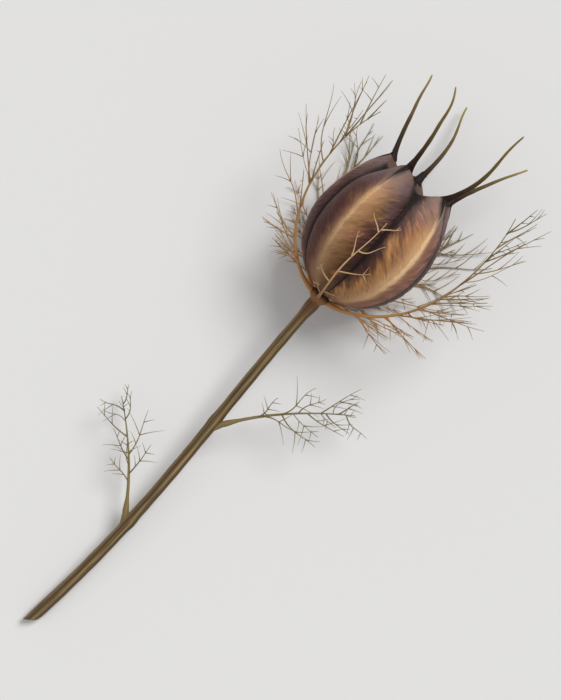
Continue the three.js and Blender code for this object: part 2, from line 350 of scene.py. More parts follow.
# The husk: papery cheeks on both sides of a dark suture, with pale ridges between the panels.
husk = {
    "columns": 400,
    "rows": 220,
    "ends": (0.004, 0.996),
    "sutureDepth": 0.2,
    "sutureWidth": 0.4,
    "crestHeight": 0.16,
    "crestWidth": 0.32,
    "cheekPuff": 0.16,
    "veinHeight": 0.06,
    "veinPitch": 1.25,
    "veinSlope": 4.5,
    "seedHeight": 0.1,
    "seedSize": 6.0,
    "lipHeight": 0.2,
    "grainHeight": 0.03,
    "grainSize": 1.8,
    # for the panel round each suture, from the one that faces up: how mauve it is, how olive its two
    # cheeks are, and how much further the dark feathers reach over each; on the side away from the
    # light the extra olive and the wider feathers are painted shade as well as the husk's own tint
    "flushes": (0.0, 0.9, 0.55, 0.6, 0.6),
    "olivesAndShades": ((0.75, 0.0), (0.1, 0.5), (0.2, 0.6), (0.0, 0.3), (0.6, 0.9)),
    "darksAndShades": ((-0.08, -0.15), (0.0, 0.0), (0.0, 0.1), (0.1, 0.0), (0.1, 0.34)),
}
huskTones = {
    "gold": tone(186, 132, 82),
    "olive": tone(112, 76, 38),
    "cream": tone(212, 163, 116),
    "rose": tone(152, 94, 76),
    "mauve": tone(164, 109, 88),
    "umber": tone(84, 48, 28),
    "purple": tone(60, 26, 29),
    "suture": tone(30, 11, 11),
    "ridge": tone(232, 196, 152),
    "crown": tone(126, 106, 108),
    "notch": tone(24, 11, 7),
    "dish": tone(98, 70, 58),
    "foot": tone(84, 50, 26),
}


def huskFinish():
    material, wire = newFinish("husk")
    seam = wire.field("seam")
    rise = wire.field("rise")
    panel = wire.field("panel")
    flush = wire.field("flush")
    shade = wire.field("shade")
    dark = wire.field("dark")
    place = wire.place()
    streak = wire.noise(wire.vector(1.6 * seam, 24.0 * rise + 4.0 * seam, 7.0 * panel), 1.0, 4.0, 0.6)
    fine = wire.noise(wire.vector(2.5 * seam, 70.0 * rise + 11.0 * seam, 5.0 * panel), 1.0, 3.0, 0.6)
    blotch = wire.noise(place, 190.0, 4.0, 0.6)
    cloud = wire.noise(place, 80.0, 2.0)
    # olive by the cheek's share: partly the husk's own tint, partly painted shade on the side away from
    # the light
    tan = 0.6 * cloud + 0.4 * streak + 0.14 * shade
    colour = wire.blend(tan.step(0.38, 0.6), huskTones["gold"], huskTones["olive"])
    colour = wire.blend(blotch.step(0.45, 0.75) * rise.step(0.2, 0.6), colour, huskTones["rose"])
    # cheeks that pale towards the ridge, and mauve panels with a dark band beside it
    uneven = 0.75 * (streak - 0.5) + 0.55 * (blotch - 0.5)
    glow = (seam + 0.6 * (streak - 0.5) + 0.3 * (cloud - 0.5)).step(0.4, 1.0) * rise.step(0.06, 0.35)
    glow = glow * rise.step(0.98, 0.75) * (0.4 + 0.9 * fine)
    # the pale cheeks dim where the olive share is high: painted shade on the side away from the light
    glow = glow * (1.0 - 0.7 * shade * rise.step(0.85, 0.6))
    colour = wire.blend(glow, colour, huskTones["cream"])
    blush = (seam + 0.22 * uneven).step(1.0, 0.7) * flush
    colour = wire.blend(blush * rise.step(0.05, 0.3), colour, huskTones["mauve"])
    band = (seam + 0.16 * uneven).step(0.96, 0.84) * (seam + 0.3 * uneven).step(0.5, 0.78) * flush
    colour = wire.blend(0.55 * band * rise.step(0.1, 0.4), colour, huskTones["purple"])
    # feathered purple beside the suture, wider towards the crown, with a dark core; the extra reach
    # on the side away from the light is painted shade
    reach = 0.16 + 0.36 * rise.step(0.1, 0.5) + 0.14 * rise.step(0.7, 0.98) + dark
    feather = seam - reach - uneven
    feathers = wire.blend(rise.step(0.2, 0.55), huskTones["umber"], huskTones["purple"])
    colour = wire.blend(0.9 * feather.step(0.16, -0.24), colour, feathers)
    core = seam - 0.5 * uneven
    colour = wire.blend(0.88 * core.step(0.26, 0.0) * rise.step(0.15, 0.6), colour, huskTones["suture"])
    lilac = 0.65 * rise.step(0.74, 0.96) * cloud.step(0.3, 0.55)
    colour = wire.blend(lilac, colour, huskTones["crown"])
    # pale ridges, broad and faint over the middle and thin up to the horns, and dimmed by painted
    # shade on the side away from the light
    edge = seam + 0.12 * (streak - 0.5) + 0.06 * (fine - 0.5)
    wide = edge.step(0.62, 0.98) * rise.step(0.1, 0.4) * rise.step(0.95, 0.6) * (0.1 + 1.6 * streak)
    thin = edge.step(0.9, 0.97) * rise.step(0.25, 0.65) * (0.4 + 1.2 * cloud)
    pale = (0.3 * wide + 0.8 * thin) * (1.25 - 0.6 * fine) * (1.0 - 0.8 * shade)
    colour = wire.blend(pale.math("MINIMUM", pale, 0.92), colour, huskTones["ridge"])
    line = (seam + 0.05 * (streak - 0.5)).step(0.07, 0.015) * rise.step(0.06, 0.22)
    colour = wire.blend(0.8 * line, colour, huskTones["suture"])
    vein = fine.step(0.54, 0.66) * seam.step(0.04, 0.12)
    colour = wire.blend(0.45 * vein * seam.step(0.85, 0.6), colour, huskTones["purple"])
    colour = wire.blend(0.4 * vein * seam.step(0.95, 0.85), colour, huskTones["olive"])
    # black notches at the creases of the rim, the crown's dark colour with painted shade of the hollow
    # crown inside, and a dark wedge down each ridge from its horn
    notch = (rise - 0.5 * seam).step(0.74, 0.9)
    wedge = (rise - 0.8 * (1.0 - seam) + 0.1 * (blotch - 0.5)).step(0.79, 0.92)
    colour = wire.blend(notch.math("MAXIMUM", notch, wedge), colour, huskTones["notch"])
    # the dish inside the rim, darker towards its middle and along the seams: its own dark colour with
    # painted shade in the hollow
    hollow = rise.step(1.1, 1.75) + 0.9 * (seam - 0.4 * (streak - 0.5)).step(0.3, 0.04)
    hollow = hollow + 0.7 * seam.step(0.86, 0.97)
    dish = wire.blend(hollow.math("MINIMUM", hollow, 0.95), huskTones["dish"], huskTones["notch"])
    colour = wire.blend((rise + 0.03 * (blotch - 0.5)).step(0.985, 1.025), colour, dish)
    # the foot darkens into the joint: its own dark ring, with painted shadow where the bracts meet it
    colour = wire.blend(rise.step(0.07, 0.015), colour, huskTones["foot"])
    paper = wire.noise(place, 1400.0, 4.0, 0.6)
    relief = wire.bump(0.6 * paper + fine + 0.5 * streak, 0.6, 0.00024)
    closeFinish(wire, {
        "Base Color": colour,
        "Roughness": 0.42 + 0.25 * paper,
        "Specular IOR Level": 0.3,
        "Normal": relief,
    })
    return material


# The plain pod with a cut suture, a thin crest up each ridge, puffed cheeks, veins that slant from
# the ridges up to the sutures, and the seeds' low swellings.
def makeHusk():
    rise = np.linspace(*husk["ends"], husk["rows"])[:, None]
    azimuth = np.radians(np.linspace(-180, 180, husk["columns"], endpoint=False))[None]
    plain = podPoint(rise, azimuth)
    seam, side, panel = seamOf(azimuth)
    wall = np.minimum(rise / pod["wallShare"], 1)
    inward = np.maximum((rise - pod["wallShare"]) / (1 - pod["wallShare"]), 0)
    girth = np.hypot(plain[..., 0], plain[..., 2])
    fromSuture = girth * seam * carpelTurn / 2
    fromRidge = girth * (1 - seam) * carpelTurn / 2
    suture = np.exp(-((fromSuture / husk["sutureWidth"]) ** 2)) * smooth(wall, 0.05, 0.25)
    crest = np.exp(-((fromRidge / husk["crestWidth"]) ** 2)) * smooth(wall, 0.3, 0.8)
    puff = np.sin(np.pi * seam) ** 2 * smooth(wall, 0.1, 0.4) * smooth(wall, 1, 0.8)
    slant = plain[..., 1] + husk["veinSlope"] * seam
    vein = np.sin(2 * np.pi * slant / husk["veinPitch"] + 3 * ripple(plain, 5.0, 1))
    vein = vein * smooth(seam, 0.03, 0.15) * smooth(seam, 0.95, 0.6)
    vein = vein * (0.6 + 0.4 * ripple(plain, 3.0, 2))
    seeds = ripple(plain, husk["seedSize"], 3) * np.sin(np.pi * seam)
    grown = (
        husk["crestHeight"] * crest
        - husk["sutureDepth"] * suture
        + husk["cheekPuff"] * puff
        + (husk["veinHeight"] * vein + husk["seedHeight"] * seeds) * smooth(wall, 0.05, 0.2)
        + husk["lipHeight"] * smooth(wall, 0.95, 1)
        + husk["grainHeight"] * ripple(plain, husk["grainSize"], 4)
    )
    rings = podPoint(rise, azimuth, grown)[None]
    cheek = panel.astype(int), (side > 0).astype(int)
    fields = {
        "seam": seam,
        "rise": wall + inward,
        "panel": panel + 0.3 * side,
        "flush": np.array(husk["flushes"])[cheek[0]],
        "shade": np.array(husk["olivesAndShades"])[cheek],
        "dark": np.array(husk["darksAndShades"])[cheek],
    }
    makePiece("husk", [(rings, fields)], huskFinish(), "capsule", "capsule")


# Horns, the dried styles: a flared root in the rim, with a dark spine down the ridge below it, and
# a long wave that thins to a hooked straw tip.
horn = {
    "lengths": (18.0, 21.5),
    "spreads": (6.5, 9.8),
    "bendPower": 1.25,
    "wave": 1.2,
    "waveTurn": 5,
    "sideWave": 0.12,
    "sideTurn": 4,
    "inset": 0.5,
    "sunk": 2.2,
    "clear": 0.6,
    "radius": 0.54,
    "tipRadius": 0.17,
    "flareWidth": 1.0,
    "flareDepth": 0.76,
    "flareHeight": 0.9,
    "flareFoot": -1.1,
    "flareLimit": 2,
    "rootDroop": 0.26,
    "innerThinning": 0.62,
    "innerSide": -1,
    "innerEnds": (0.9, -0.4),
    "curl": 0.8,
    "hookStart": 0.5,
    "hookTurn": 7,
    "hookPhase": 6,
    "sideHook": 0.04,
    "tipEnd": 1.003,
    "tipRound": 0.02,
    "ribs": 5,
    "ribHeight": 0.07,
    "ribTwist": 0.3,
    "grainHeight": 0.05,
    "grainSize": 2.5,
    "steps": 110,
    "sides": 28,
}
spine = {
    "start": 0.86,
    "steps": 24,
    "width": 0.75,
    "depth": 0.28,
    "shallowest": 0.4,
    "thinnest": 0.1,
    "widening": 1.5,
    "ends": (0.8, 1.4),  # heights over the rim where it runs inside the horn
    "smoothing": 8,
    "sides": 12,
}


def hornFinish():
    material, wire = newFinish("horn")
    share = wire.field("share")
    place = wire.place()
    mottle = wire.noise(place, 500.0, 3.0)
    stops = [
        (0.0, tone(30, 14, 7)),
        (0.12, tone(46, 26, 11)),
        (0.35, tone(74, 56, 22)),
        (0.7, tone(114, 96, 44)),
        (1.0, tone(160, 138, 76)),
    ]
    colour = wire.node("ShaderNodeValToRGB", {"stops": stops}, {"Fac": share + 0.25 * (mottle - 0.5)})
    grain = wire.noise(place, 2500.0, 2.0)
    closeFinish(wire, {
        "Base Color": colour,
        "Roughness": 0.45 + 0.25 * mottle,
        "Specular IOR Level": 0.25,
        "Normal": wire.bump(grain, 0.3, 0.0001),
    })
    return material


# radii of an oval ring, wide across and deep outwards
def ovalRadii(width, depth, sides):
    turn = 2 * np.pi * np.arange(sides) / sides
    width, depth = width[..., None], depth[..., None]
    return width * depth / np.hypot(depth * np.cos(turn), width * np.sin(turn)), turn


# a horn leaves the top of its carpel along the axis, swings out and waves, and its tip hooks
def makeHorns():
    index = np.arange(pod["carpels"])[:, None]
    azimuth = pod["creaseAt"] + (index + 0.5) * carpelTurn
    share = np.linspace(0, 1, horn["steps"])[None]
    length = drawFrom(horn["lengths"], index)
    spreadOut = drawFrom(horn["spreads"], index + 20)
    wave = drawFrom((-horn["wave"], horn["wave"]), index + 40)
    curl = drawFrom((-horn["curl"], horn["curl"]), index + 60)
    hook = np.sin(horn["hookTurn"] * share + horn["hookPhase"] * draw(index + 80))
    hook = smooth(share, horn["hookStart"], 1) * hook
    out = pod["rim"] - horn["inset"] + spreadOut * share ** horn["bendPower"]
    out = out + wave * np.sin(horn["waveTurn"] * share) + curl * hook
    along = pod["length"] + pod["rimLift"] - horn["sunk"] + length * share
    turned = azimuth + horn["sideWave"] * wave * np.sin(horn["sideTurn"] * share)
    turned = turned + horn["sideHook"] * hook
    paths = liftOff(polar(along, out, turned), horn["clear"])
    overRim = length * share - horn["sunk"]
    up = np.clip(overRim / (length - horn["sunk"]), 0, 1)
    flare = np.exp(-np.maximum(overRim, horn["flareFoot"]) / horn["flareHeight"])
    radius = horn["radius"] + (horn["tipRadius"] - horn["radius"]) * up
    radius = radius * np.sqrt(np.clip((horn["tipEnd"] - up) / horn["tipRound"], 0, 1))
    width = radius + (horn["flareWidth"] - radius) * flare
    depth = radius + (horn["flareDepth"] - radius) * np.minimum(flare, horn["flareLimit"])
    radii, turn = ovalRadii(width, depth, horn["sides"])
    ribs = horn["ribHeight"] * np.cos(horn["ribs"] * turn + horn["ribTwist"] * overRim[..., None])
    grain = horn["grainHeight"] * ripple(paths, horn["grainSize"], 5)
    radii = radii * (1 + ribs + grain[..., None])
    inner = np.clip(horn["innerSide"] * np.sin(turn), 0, 1)
    inner = inner * smooth(overRim, *horn["innerEnds"])[..., None]
    radii = radii * (1 - horn["innerThinning"] * inner)
    tangent = np.stack([np.cos(azimuth), 0 * azimuth, -np.sin(azimuth)], -1)
    horns = tubeRings(paths, radii, horn["sides"], tangent)
    # the root's wings bend down with the arch of the rim
    sideways = ((horns - paths[:, :, None]) * tangent[:, :, None]).sum(-1)
    horns[..., 1] -= horn["rootDroop"] * sideways**2
    # the spine climbs its ridge and ends inside the horn
    wall = np.linspace(spine["start"], 1, spine["steps"])[None]
    inHorn = paths[:, np.searchsorted(overRim.mean(0), spine["ends"])]
    climbs = np.concatenate([podPoint(wall * pod["wallShare"], azimuth), inHorn], axis=1)
    for _ in range(spine["smoothing"]):
        climbs[:, 1:-1] += 0.25 * (climbs[:, :-2] - 2 * climbs[:, 1:-1] + climbs[:, 2:])
    broad = np.linspace(spine["thinnest"], 1, climbs.shape[1])[None] ** spine["widening"] + 0 * azimuth
    deep = spine["depth"] * (spine["shallowest"] + (1 - spine["shallowest"]) * broad)
    radii, _ = ovalRadii(spine["width"] * broad, deep, spine["sides"])
    spines = tubeRings(climbs, radii, spine["sides"], tangent)
    lofts = [(horns, {"share": up[..., None]}), (spines, {"share": 0.0})]
    makePiece("horns", lofts, hornFinish(), "capsule")


# Fronds: a midrib with staggered pairs of forked threads, and threads that stand outwards, as on
# the solids. Hairs grow half way between some of them, and most threads split again near their tips.
frond = {
    "ribRadius": 0.42,
    "ribTip": 0.08,
    "ribTaper": 0.8,
    "ribSteps": 70,
    "ribSides": 10,
    "sheathShare": 0.14,
    "threadRadius": 0.17,
    "threadTip": 0.05,
    "threadSteps": 12,
    "threadSides": 6,
    "forkRadius": 0.11,
    "forkTip": 0.03,
    "forkSteps": 7,
    "forkSides": 5,
    "hairRadius": 0.1,
    "hairShare": 0.45,
    "hairLength": 0.7,
    "lengthShares": (0.65, 1.35),
    "leans": (0.55, 1.15),
    "rises": (0.3, 1.1),
    "curl": 0.18,
    "wave": 0.1,
    "waveTurn": 5,
    "forkCurl": 0.22,
    "stagger": 0.22,
    "drift": (-0.2, 0.2),
    "last": 0.93,
    "forkedShare": 0.6,
    "forkSpread": 0.9,
    "spreadShares": (0.7, 1.3),
    "forkRise": 0.2,
    "riseShares": (-0.5, 2.0),
    "forkLengths": (0.8, 1.15),
    "clear": 0.34,
}
# where along a thread a pair of forks leaves it, how long they are over the thread, and how many grow
forks = [
    {"place": 0.5, "length": 0.5, "grown": 1.0},
    {"place": 0.3, "length": 0.34, "grown": 0.35},
    {"place": 0.76, "length": 0.28, "grown": 0.7},
]
bractRule = {
    "start": math.radians(9),
    "gap": 1.0,
    "sector": math.radians(25),
    "standPower": 2.2,
    "sway": math.radians(3),
    "steps": 90,
    "first": 0.13,
    "threadLength": 9.5,
    "outerLength": 9.0,
    "lengthCurve": (0.55, 0.65),
    "lead": ((-1.7, 0.7), (-1.35, 1.25), (-1.05, 1.8)),  # along and out, inside the joint
    "bareStout": 0.75,
    "sheath": 0.12,
}
bracts = [
    {"azimuth": 0, "sweep": 104, "standOff": 1.3, "stations": 4, "reach": 0.6, "lift": 0.35, "bare": True},
    {"azimuth": 76, "sweep": 138, "standOff": 14, "stations": 7, "reach": 1, "lift": 1, "bare": False},
    {"azimuth": 136, "sweep": 118, "standOff": 7, "stations": 6, "reach": 1, "lift": 1, "bare": False},
    {"azimuth": -135, "sweep": 118, "standOff": 7, "stations": 6, "reach": 1, "lift": 1, "bare": False},
    {"azimuth": -70, "sweep": 140, "standOff": 10, "stations": 7, "reach": 1, "lift": 1, "bare": False},
]
leafRule = {
    "first": 0.25,
    "threadLength": 7.5,
    "lengthCurve": (0.6, 0.6),
    "sideways": (0.55, 0.2),
    "forward": (0.85, -0.1),
    "droop": 3.5,
    "ribSolid": 0.46,
    "clearance": 0.35,
    "steps": 60,
    "leadSteps": 6,
    "leadBelow": (2.4, 0.4),
    "leadOut": 0.6,
    "sheath": 0.25,
}
leaves = [
    {"below": 33, "side": 1, "length": 25, "stations": 5},
    {"below": 60, "side": -1, "length": 22, "stations": 4},
]


# the colours of a midrib from its root to its end, and of the finest threads
frondTones = {
    "ruff": (tone(190, 132, 72), tone(156, 122, 70), tone(122, 112, 74), tone(138, 130, 98)),
    "pale_ruff": (tone(148, 98, 54), tone(216, 178, 128), tone(208, 174, 128), tone(204, 174, 134)),
    "leaf": (tone(128, 106, 62), tone(132, 118, 76), tone(126, 120, 86), tone(140, 134, 104)),
}


def frondFinish(name):
    material, wire = newFinish(name)
    root, middle, end, fineEnd = frondTones[name]
    reach = wire.field("reach")
    fine = wire.field("fine")
    place = wire.place()
    mottle = wire.noise(place, 420.0, 3.0)
    stops = [(0.0, root), (0.5, middle), (1.0, end)]
    colour = wire.node("ShaderNodeValToRGB", {"stops": stops}, {"Fac": reach + 0.3 * (mottle - 0.5)})
    colour = wire.blend(fine.step(0.15, 1.0) * (0.6 + 0.6 * mottle), colour, fineEnd)
    closeFinish(wire, {
        "Base Color": colour,
        "Roughness": 0.55 + 0.2 * mottle,
        "Normal": wire.bump(wire.noise(place, 3000.0, 2.0), 0.25, 0.00008),
    })
    return material


def atShare(path, share):
    run = np.concatenate([[0], np.cumsum(np.linalg.norm(np.diff(path, axis=0), axis=1))])
    return np.stack([np.interp(share, run / run[-1], path[:, k]) for k in range(3)], -1)


def threadTubes(paths, start, end, sides):
    share = np.linspace(0, 1, paths.shape[1])
    radii = start[:, None] + (end - start[:, None]) * share
    return tubeRings(paths, np.repeat(radii[..., None], sides, -1), sides)


# the stations of the threads and the sides that they leave on, with the hairs after them
def threadPlaces(rule):
    stations, sides = np.meshgrid(np.arange(rule["stations"]), [-1, 1, 0])
    whole = (sides != 0) | (rule["outer"] & (stations % 2 == 1))
    gaps, gapSides = np.meshgrid(np.arange(0.5, rule["stations"] - 1), [-1, 1, 0])
    hairy = (draw(rule["seed"] + 13 * gaps + 5 * gapSides) < frond["hairShare"]) & (not rule["bare"])
    places = np.concatenate([stations[whole], gaps[hairy]])
    ways = np.concatenate([sides[whole], gapSides[hairy]])
    return places, ways, np.arange(len(places)) >= whole.sum()


# Threads leave the midrib at a lean, curl forwards and wave, and fork to both sides.
def growFrond(rib, outwardAt, rule, settle):
    ribShare = np.linspace(0, 1, frond["ribSteps"])
    laidRib = np.concatenate([rule["lead"], settle(atShare(rib, ribShare))])[None]
    ribShare = np.concatenate([np.zeros(len(rule["lead"])), ribShare])[None]
    taper = ribShare ** frond["ribTaper"]
    ribRadius = frond["ribRadius"] + (frond["ribTip"] - frond["ribRadius"]) * taper
    sheath = rule["sheath"] * (1 - smooth(ribShare, 0, frond["sheathShare"]))
    ribRadius = np.repeat((ribRadius * rule["stout"] + sheath)[..., None], frond["ribSides"], -1)
    ribRings = tubeRings(laidRib, ribRadius, frond["ribSides"])
    lofts = [(ribRings, {"reach": ribShare[..., None], "fine": 0.0})]
    places, sides, hairs = threadPlaces(rule)
    key = rule["seed"] + 7 * places + 3 * sides
    station = places + frond["stagger"] * sides + drawFrom(frond["drift"], key + 1500)
    share = np.clip(station / (rule["stations"] - 1), 0, 1)
    share = rule["first"] + (frond["last"] - rule["first"]) * share
    root = atShare(rib, share)
    forward = unit(atShare(rib, share + 0.01) - atShare(rib, share - 0.01))
    outward = outwardAt(root)
    across = unit(np.cross(forward, outward))
    lean = drawFrom(frond["leans"], key)
    rise = np.where(sides == 0, np.pi / 2, rule["lift"] * drawFrom(frond["rises"], key + 500))
    direction = (
        forward * np.cos(lean)[:, None]
        + across * (sides * np.sin(lean) * np.cos(rise))[:, None]
        + outward * (np.sin(lean) * np.sin(rise))[:, None]
    )
    length = rule["lengthAt"](share, sides) * drawFrom(frond["lengthShares"], key + 900)
    length = length * np.where(hairs, frond["hairLength"], 1.0)
    beside = unit(np.cross(direction, outward))
    swing = frond["wave"] * length * drawFrom((-1, 1), key + 1700)

    def alongThread(run):
        reach = (length[:, None] * run)[..., None]
        curl = (frond["curl"] * length[:, None] * run**2)[..., None]
        sway = (swing[:, None] * np.sin(frond["waveTurn"] * run))[..., None]
        straight = root[:, None] + direction[:, None] * reach
        return straight + forward[:, None] * curl + beside[:, None] * sway

    run = np.linspace(0, 1, frond["threadSteps"])
    start = np.where(hairs, frond["hairRadius"], frond["threadRadius"])
    threads = threadTubes(settle(alongThread(run)), start, frond["threadTip"], frond["threadSides"])
    lofts.append((threads, {"reach": share[:, None, None], "fine": 0.5 * run[:, None]}))
    onlySide = np.where(draw(key + 1300) < 0.5, -1, 1)
    forkRun = np.linspace(0, 1, frond["forkSteps"])[:, None]
    for fork in forks[2:] if rule["bare"] else forks:
        for side in (-1, 1):
            forkKey = key + 31 * fork["place"] + 11 * side
            grows = (share < frond["forkedShare"]) | (onlySide == side)
            grows = grows & (draw(forkKey + 900) < fork["grown"])
            apart = side * frond["forkSpread"] * drawFrom(frond["spreadShares"], forkKey)
            above = frond["forkRise"] * drawFrom(frond["riseShares"], forkKey + 300)
            way = unit(direction + beside * apart[:, None] + outward * above[:, None])
            reach = fork["length"] * length * drawFrom(frond["forkLengths"], forkKey + 600)
            reach = reach[:, None, None]
            bend = beside[:, None] * side * frond["forkCurl"] * reach * forkRun**2
            paths = alongThread(np.array([fork["place"]])) + way[:, None] * reach * forkRun + bend
            paths = settle(paths)[grows]
            start = np.full(len(paths), frond["forkRadius"])
            tubes = threadTubes(paths, start, frond["forkTip"], frond["forkSides"])
            lofts.append((tubes, {"reach": share[grows][:, None, None], "fine": 0.4 + 0.6 * forkRun}))
    return lofts


# a bract's midrib follows the pod's outline from the foot, standing further off as it goes
def makeBract(bract, index, finish):
    azimuth = math.radians(bract["azimuth"])
    share = np.linspace(0, 1, bractRule["steps"])
    sweep = math.radians(bract["sweep"]) - bractRule["start"]
    along, out, normal = outline(bractRule["start"] + sweep * share)
    gap = bractRule["gap"] + (bract["standOff"] - bractRule["gap"]) * share ** bractRule["standPower"]
    sway = bractRule["sway"] * share * np.sin(2 * np.pi * (share + draw(index + 300)))
    rib = polar(along + gap * normal[:, 0], out + gap * normal[:, 1], azimuth + sway)

    def outwardAt(points):
        return unit(points - np.array([0, pod["widest"], 0]))

    def settle(points):
        out = np.hypot(points[..., 0], points[..., 2])
        away = np.arctan2(points[..., 0], points[..., 2]) - azimuth
        away = np.arctan2(np.sin(away), np.cos(away))
        turn = azimuth + bractRule["sector"] * np.tanh(away / bractRule["sector"])
        return liftOff(polar(points[..., 1], out, turn), frond["clear"])

    def lengthAt(share, side):
        longest = np.where(side == 0, bractRule["outerLength"], bractRule["threadLength"])
        ends, swell = bractRule["lengthCurve"]
        return longest * bract["reach"] * (ends + swell * np.sin(np.pi * share))

    rule = {
        "stations": bract["stations"],
        "first": bractRule["first"],
        "seed": 100 * (index + 1),
        "lift": bract["lift"],
        "bare": bract["bare"],
        "outer": not bract["bare"],
        "lengthAt": lengthAt,
        "lead": polar(*np.array(bractRule["lead"]).T, azimuth),
        "stout": bractRule["bareStout"] if bract["bare"] else 1.0,
        "sheath": bractRule["sheath"],
    }
    lofts = growFrond(rib, outwardAt, rule, settle)
    makePiece(f"ruff_{index + 1}", lofts, finish, "bract", f"bract_{index + 1}")


def stemPoint(below):
    share = below / stem["length"]
    return np.stack([stem["bow"] * np.sin(np.pi * share) * share, -below, 0 * share], -1)


# a stem leaf slants towards the head from a sheath on the stem and droops to the surface
def makeLeaf(leaf, index, finish):
    root = stemPoint(np.array(leaf["below"]))
    edge = stem["radius"] + leafRule["ribSolid"] + leafRule["clearance"]
    root = root + np.array([leaf["side"] * edge, 0, 0])
    share = np.linspace(0, 1, leafRule["steps"])
    powers = np.stack([share, share**2], -1)
    rib = root + np.stack([
        leaf["side"] * leaf["length"] * (powers @ leafRule["sideways"]),
        leaf["length"] * (powers @ leafRule["forward"]),
        -leafRule["droop"] * share**2,
    ], -1)
    inStem = stemPoint(leaf["below"] + np.linspace(*leafRule["leadBelow"], leafRule["leadSteps"]))
    leadEnd = edge - leafRule["clearance"]
    inStem[:, 0] += leaf["side"] * np.linspace(leafRule["leadOut"], leadEnd, leafRule["leadSteps"])

    def outwardAt(points):
        return np.broadcast_to([0.0, 0.0, 1.0], points.shape)

    def settle(points):
        return liftOff(points, frond["clear"])

    def lengthAt(share, side):
        ends, swell = leafRule["lengthCurve"]
        return leafRule["threadLength"] * (ends + swell * np.sin(np.pi * share))

    rule = {
        "stations": leaf["stations"],
        "first": leafRule["first"],
        "seed": 1000 * (index + 1),
        "lift": 1,
        "bare": False,
        "outer": False,
        "lengthAt": lengthAt,
        "lead": inStem,
        "stout": 1.0,
        "sheath": leafRule["sheath"],
    }
    lofts = growFrond(rib, outwardAt, rule, settle)
    makePiece(f"thread_leaf_{index + 1}", lofts, finish, "leaf", f"leaf_{index + 1}")


# The stem: shallow grooves, a swelling at each leaf, a collar under the ruff and a pale slanting cut.
def stemFinish():
    material, wire = newFinish("stem")
    below = wire.field("below")
    around = wire.field("around")
    cut = wire.field("cut")
    core = wire.field("core")
    ridge = wire.field("ridge")
    place = wire.place()
    fibre = wire.noise(wire.vector(26.0 * around, 9.0 * below, 0.0), 1.0, 4.0, 0.6)
    patch = wire.noise(place, 90.0, 3.0)
    colour = wire.blend(fibre.step(0.3, 0.7), tone(68, 50, 26), tone(134, 108, 66))
    colour = wire.blend(0.6 * patch.step(0.5, 0.7), colour, tone(92, 82, 48))
    # darker in the grooves and paler on the ridges: the dried stem's own stripes, with painted shade in
    # the grooves and a painted highlight on the ridges
    colour = wire.blend(0.7 * ridge.step(0.45, 0.0), colour, tone(46, 32, 16))
    colour = wire.blend(ridge.step(0.7, 1.0) * fibre.step(0.3, 0.8), colour, tone(176, 150, 104))
    colour = wire.blend(0.8 * below.step(0.12, 0.0), colour, tone(108, 66, 32))
    wood = (core + 0.3 * (fibre - 0.5)).step(0.35, 0.6)
    face = wire.blend(wood, tone(222, 204, 164), tone(166, 130, 80))
    face = wire.blend(core.step(0.78, 0.97), face, tone(84, 62, 34))
    colour = wire.blend(cut, colour, wire.blend(core.step(0.3, 0.12), face, tone(92, 66, 36)))
    closeFinish(wire, {
        "Base Color": colour,
        "Roughness": 0.55 + 0.25 * fibre,
        "Normal": wire.bump(fibre + wire.noise(place, 2200.0, 2.0), 0.4, 0.00012),
    })
    return material


def makeStem():
    cutRows = np.linspace(*stem["cutSpan"], stem["cutRows"])
    side = np.linspace(stem["length"], stem["top"], stem["steps"])
    below = np.concatenate([np.full(len(cutRows), stem["length"]), side])
    narrow = np.concatenate([cutRows, np.ones(stem["steps"])])
    dished = stem["cutDish"] * (1 - cutRows) + stem["pithDepth"] * smooth(cutRows, *stem["pithEdge"])
    recess = np.concatenate([dished, np.zeros(stem["steps"])])
    apart = np.linspace(*stem["ringGaps"], len(cutRows))  # keeps the rings of the cut face in order
    path = stemPoint(np.concatenate([stem["length"] + apart, side]))
    share = 1 - below / stem["length"]
    plain = stem["footRadius"] + (stem["radius"] - stem["footRadius"]) * share
    plain = plain + stem["collar"] * np.exp(-(((below - stem["collarDrop"]) / stem["collarLength"]) ** 2))
    for leaf in leaves:
        under = below - leaf["below"] - stem["swellDrop"]
        plain = plain + stem["swell"] * np.exp(-((under / stem["swellLength"]) ** 2))
    quick, slow = (np.sin(below * wave) for wave in stem["waves"])
    plain = plain + stem["unevenness"] * quick * slow
    turn = 2 * np.pi * np.arange(stem["sides"]) / stem["sides"]
    ridge = 0.5 + 0.5 * np.cos(stem["ribs"] * turn)
    groove = stem["groove"] * (1 - ridge) + stem["fineGroove"] * np.cos(3 * stem["ribs"] * turn)
    radii = (plain[:, None] - groove) * narrow[:, None]
    rings = tubeRings(path[None], radii[None], stem["sides"], np.array([[[1.0, 0.0, 0.0]]]))
    atFoot = smooth(-rings[..., 1], stem["length"] - stem["slantLength"], stem["length"])
    rings[..., 1] += atFoot * stem["slant"] * rings[..., 0] / stem["footRadius"] + recess[:, None]
    fields = {
        "below": (below / stem["length"])[:, None],
        "around": np.abs(turn / np.pi - 1),
        "cut": (narrow < 1).astype(float)[:, None],
        "core": narrow[:, None],
        "ridge": ridge,
    }
    makePiece("cut_stem", [(rings, fields)], stemFinish(), "stem", "stem")


# The joint that the stem, the ruff and the pod grow from: a knob with a lobe under each bract.
joint = {
    "low": -3.6,
    "high": 0.7,
    "rows": 40,
    "sides": 72,
    "proud": 0.1,
    "swell": 0.85,
    "swellAt": -0.7,
    "swellLength": 1.1,
    "lobe": 0.55,
    "lobeWidth": 0.3,
    "lobeAt": -0.75,
    "lobeLength": 0.8,
    "grainHeight": 0.05,
    "grainSize": 1.5,
}


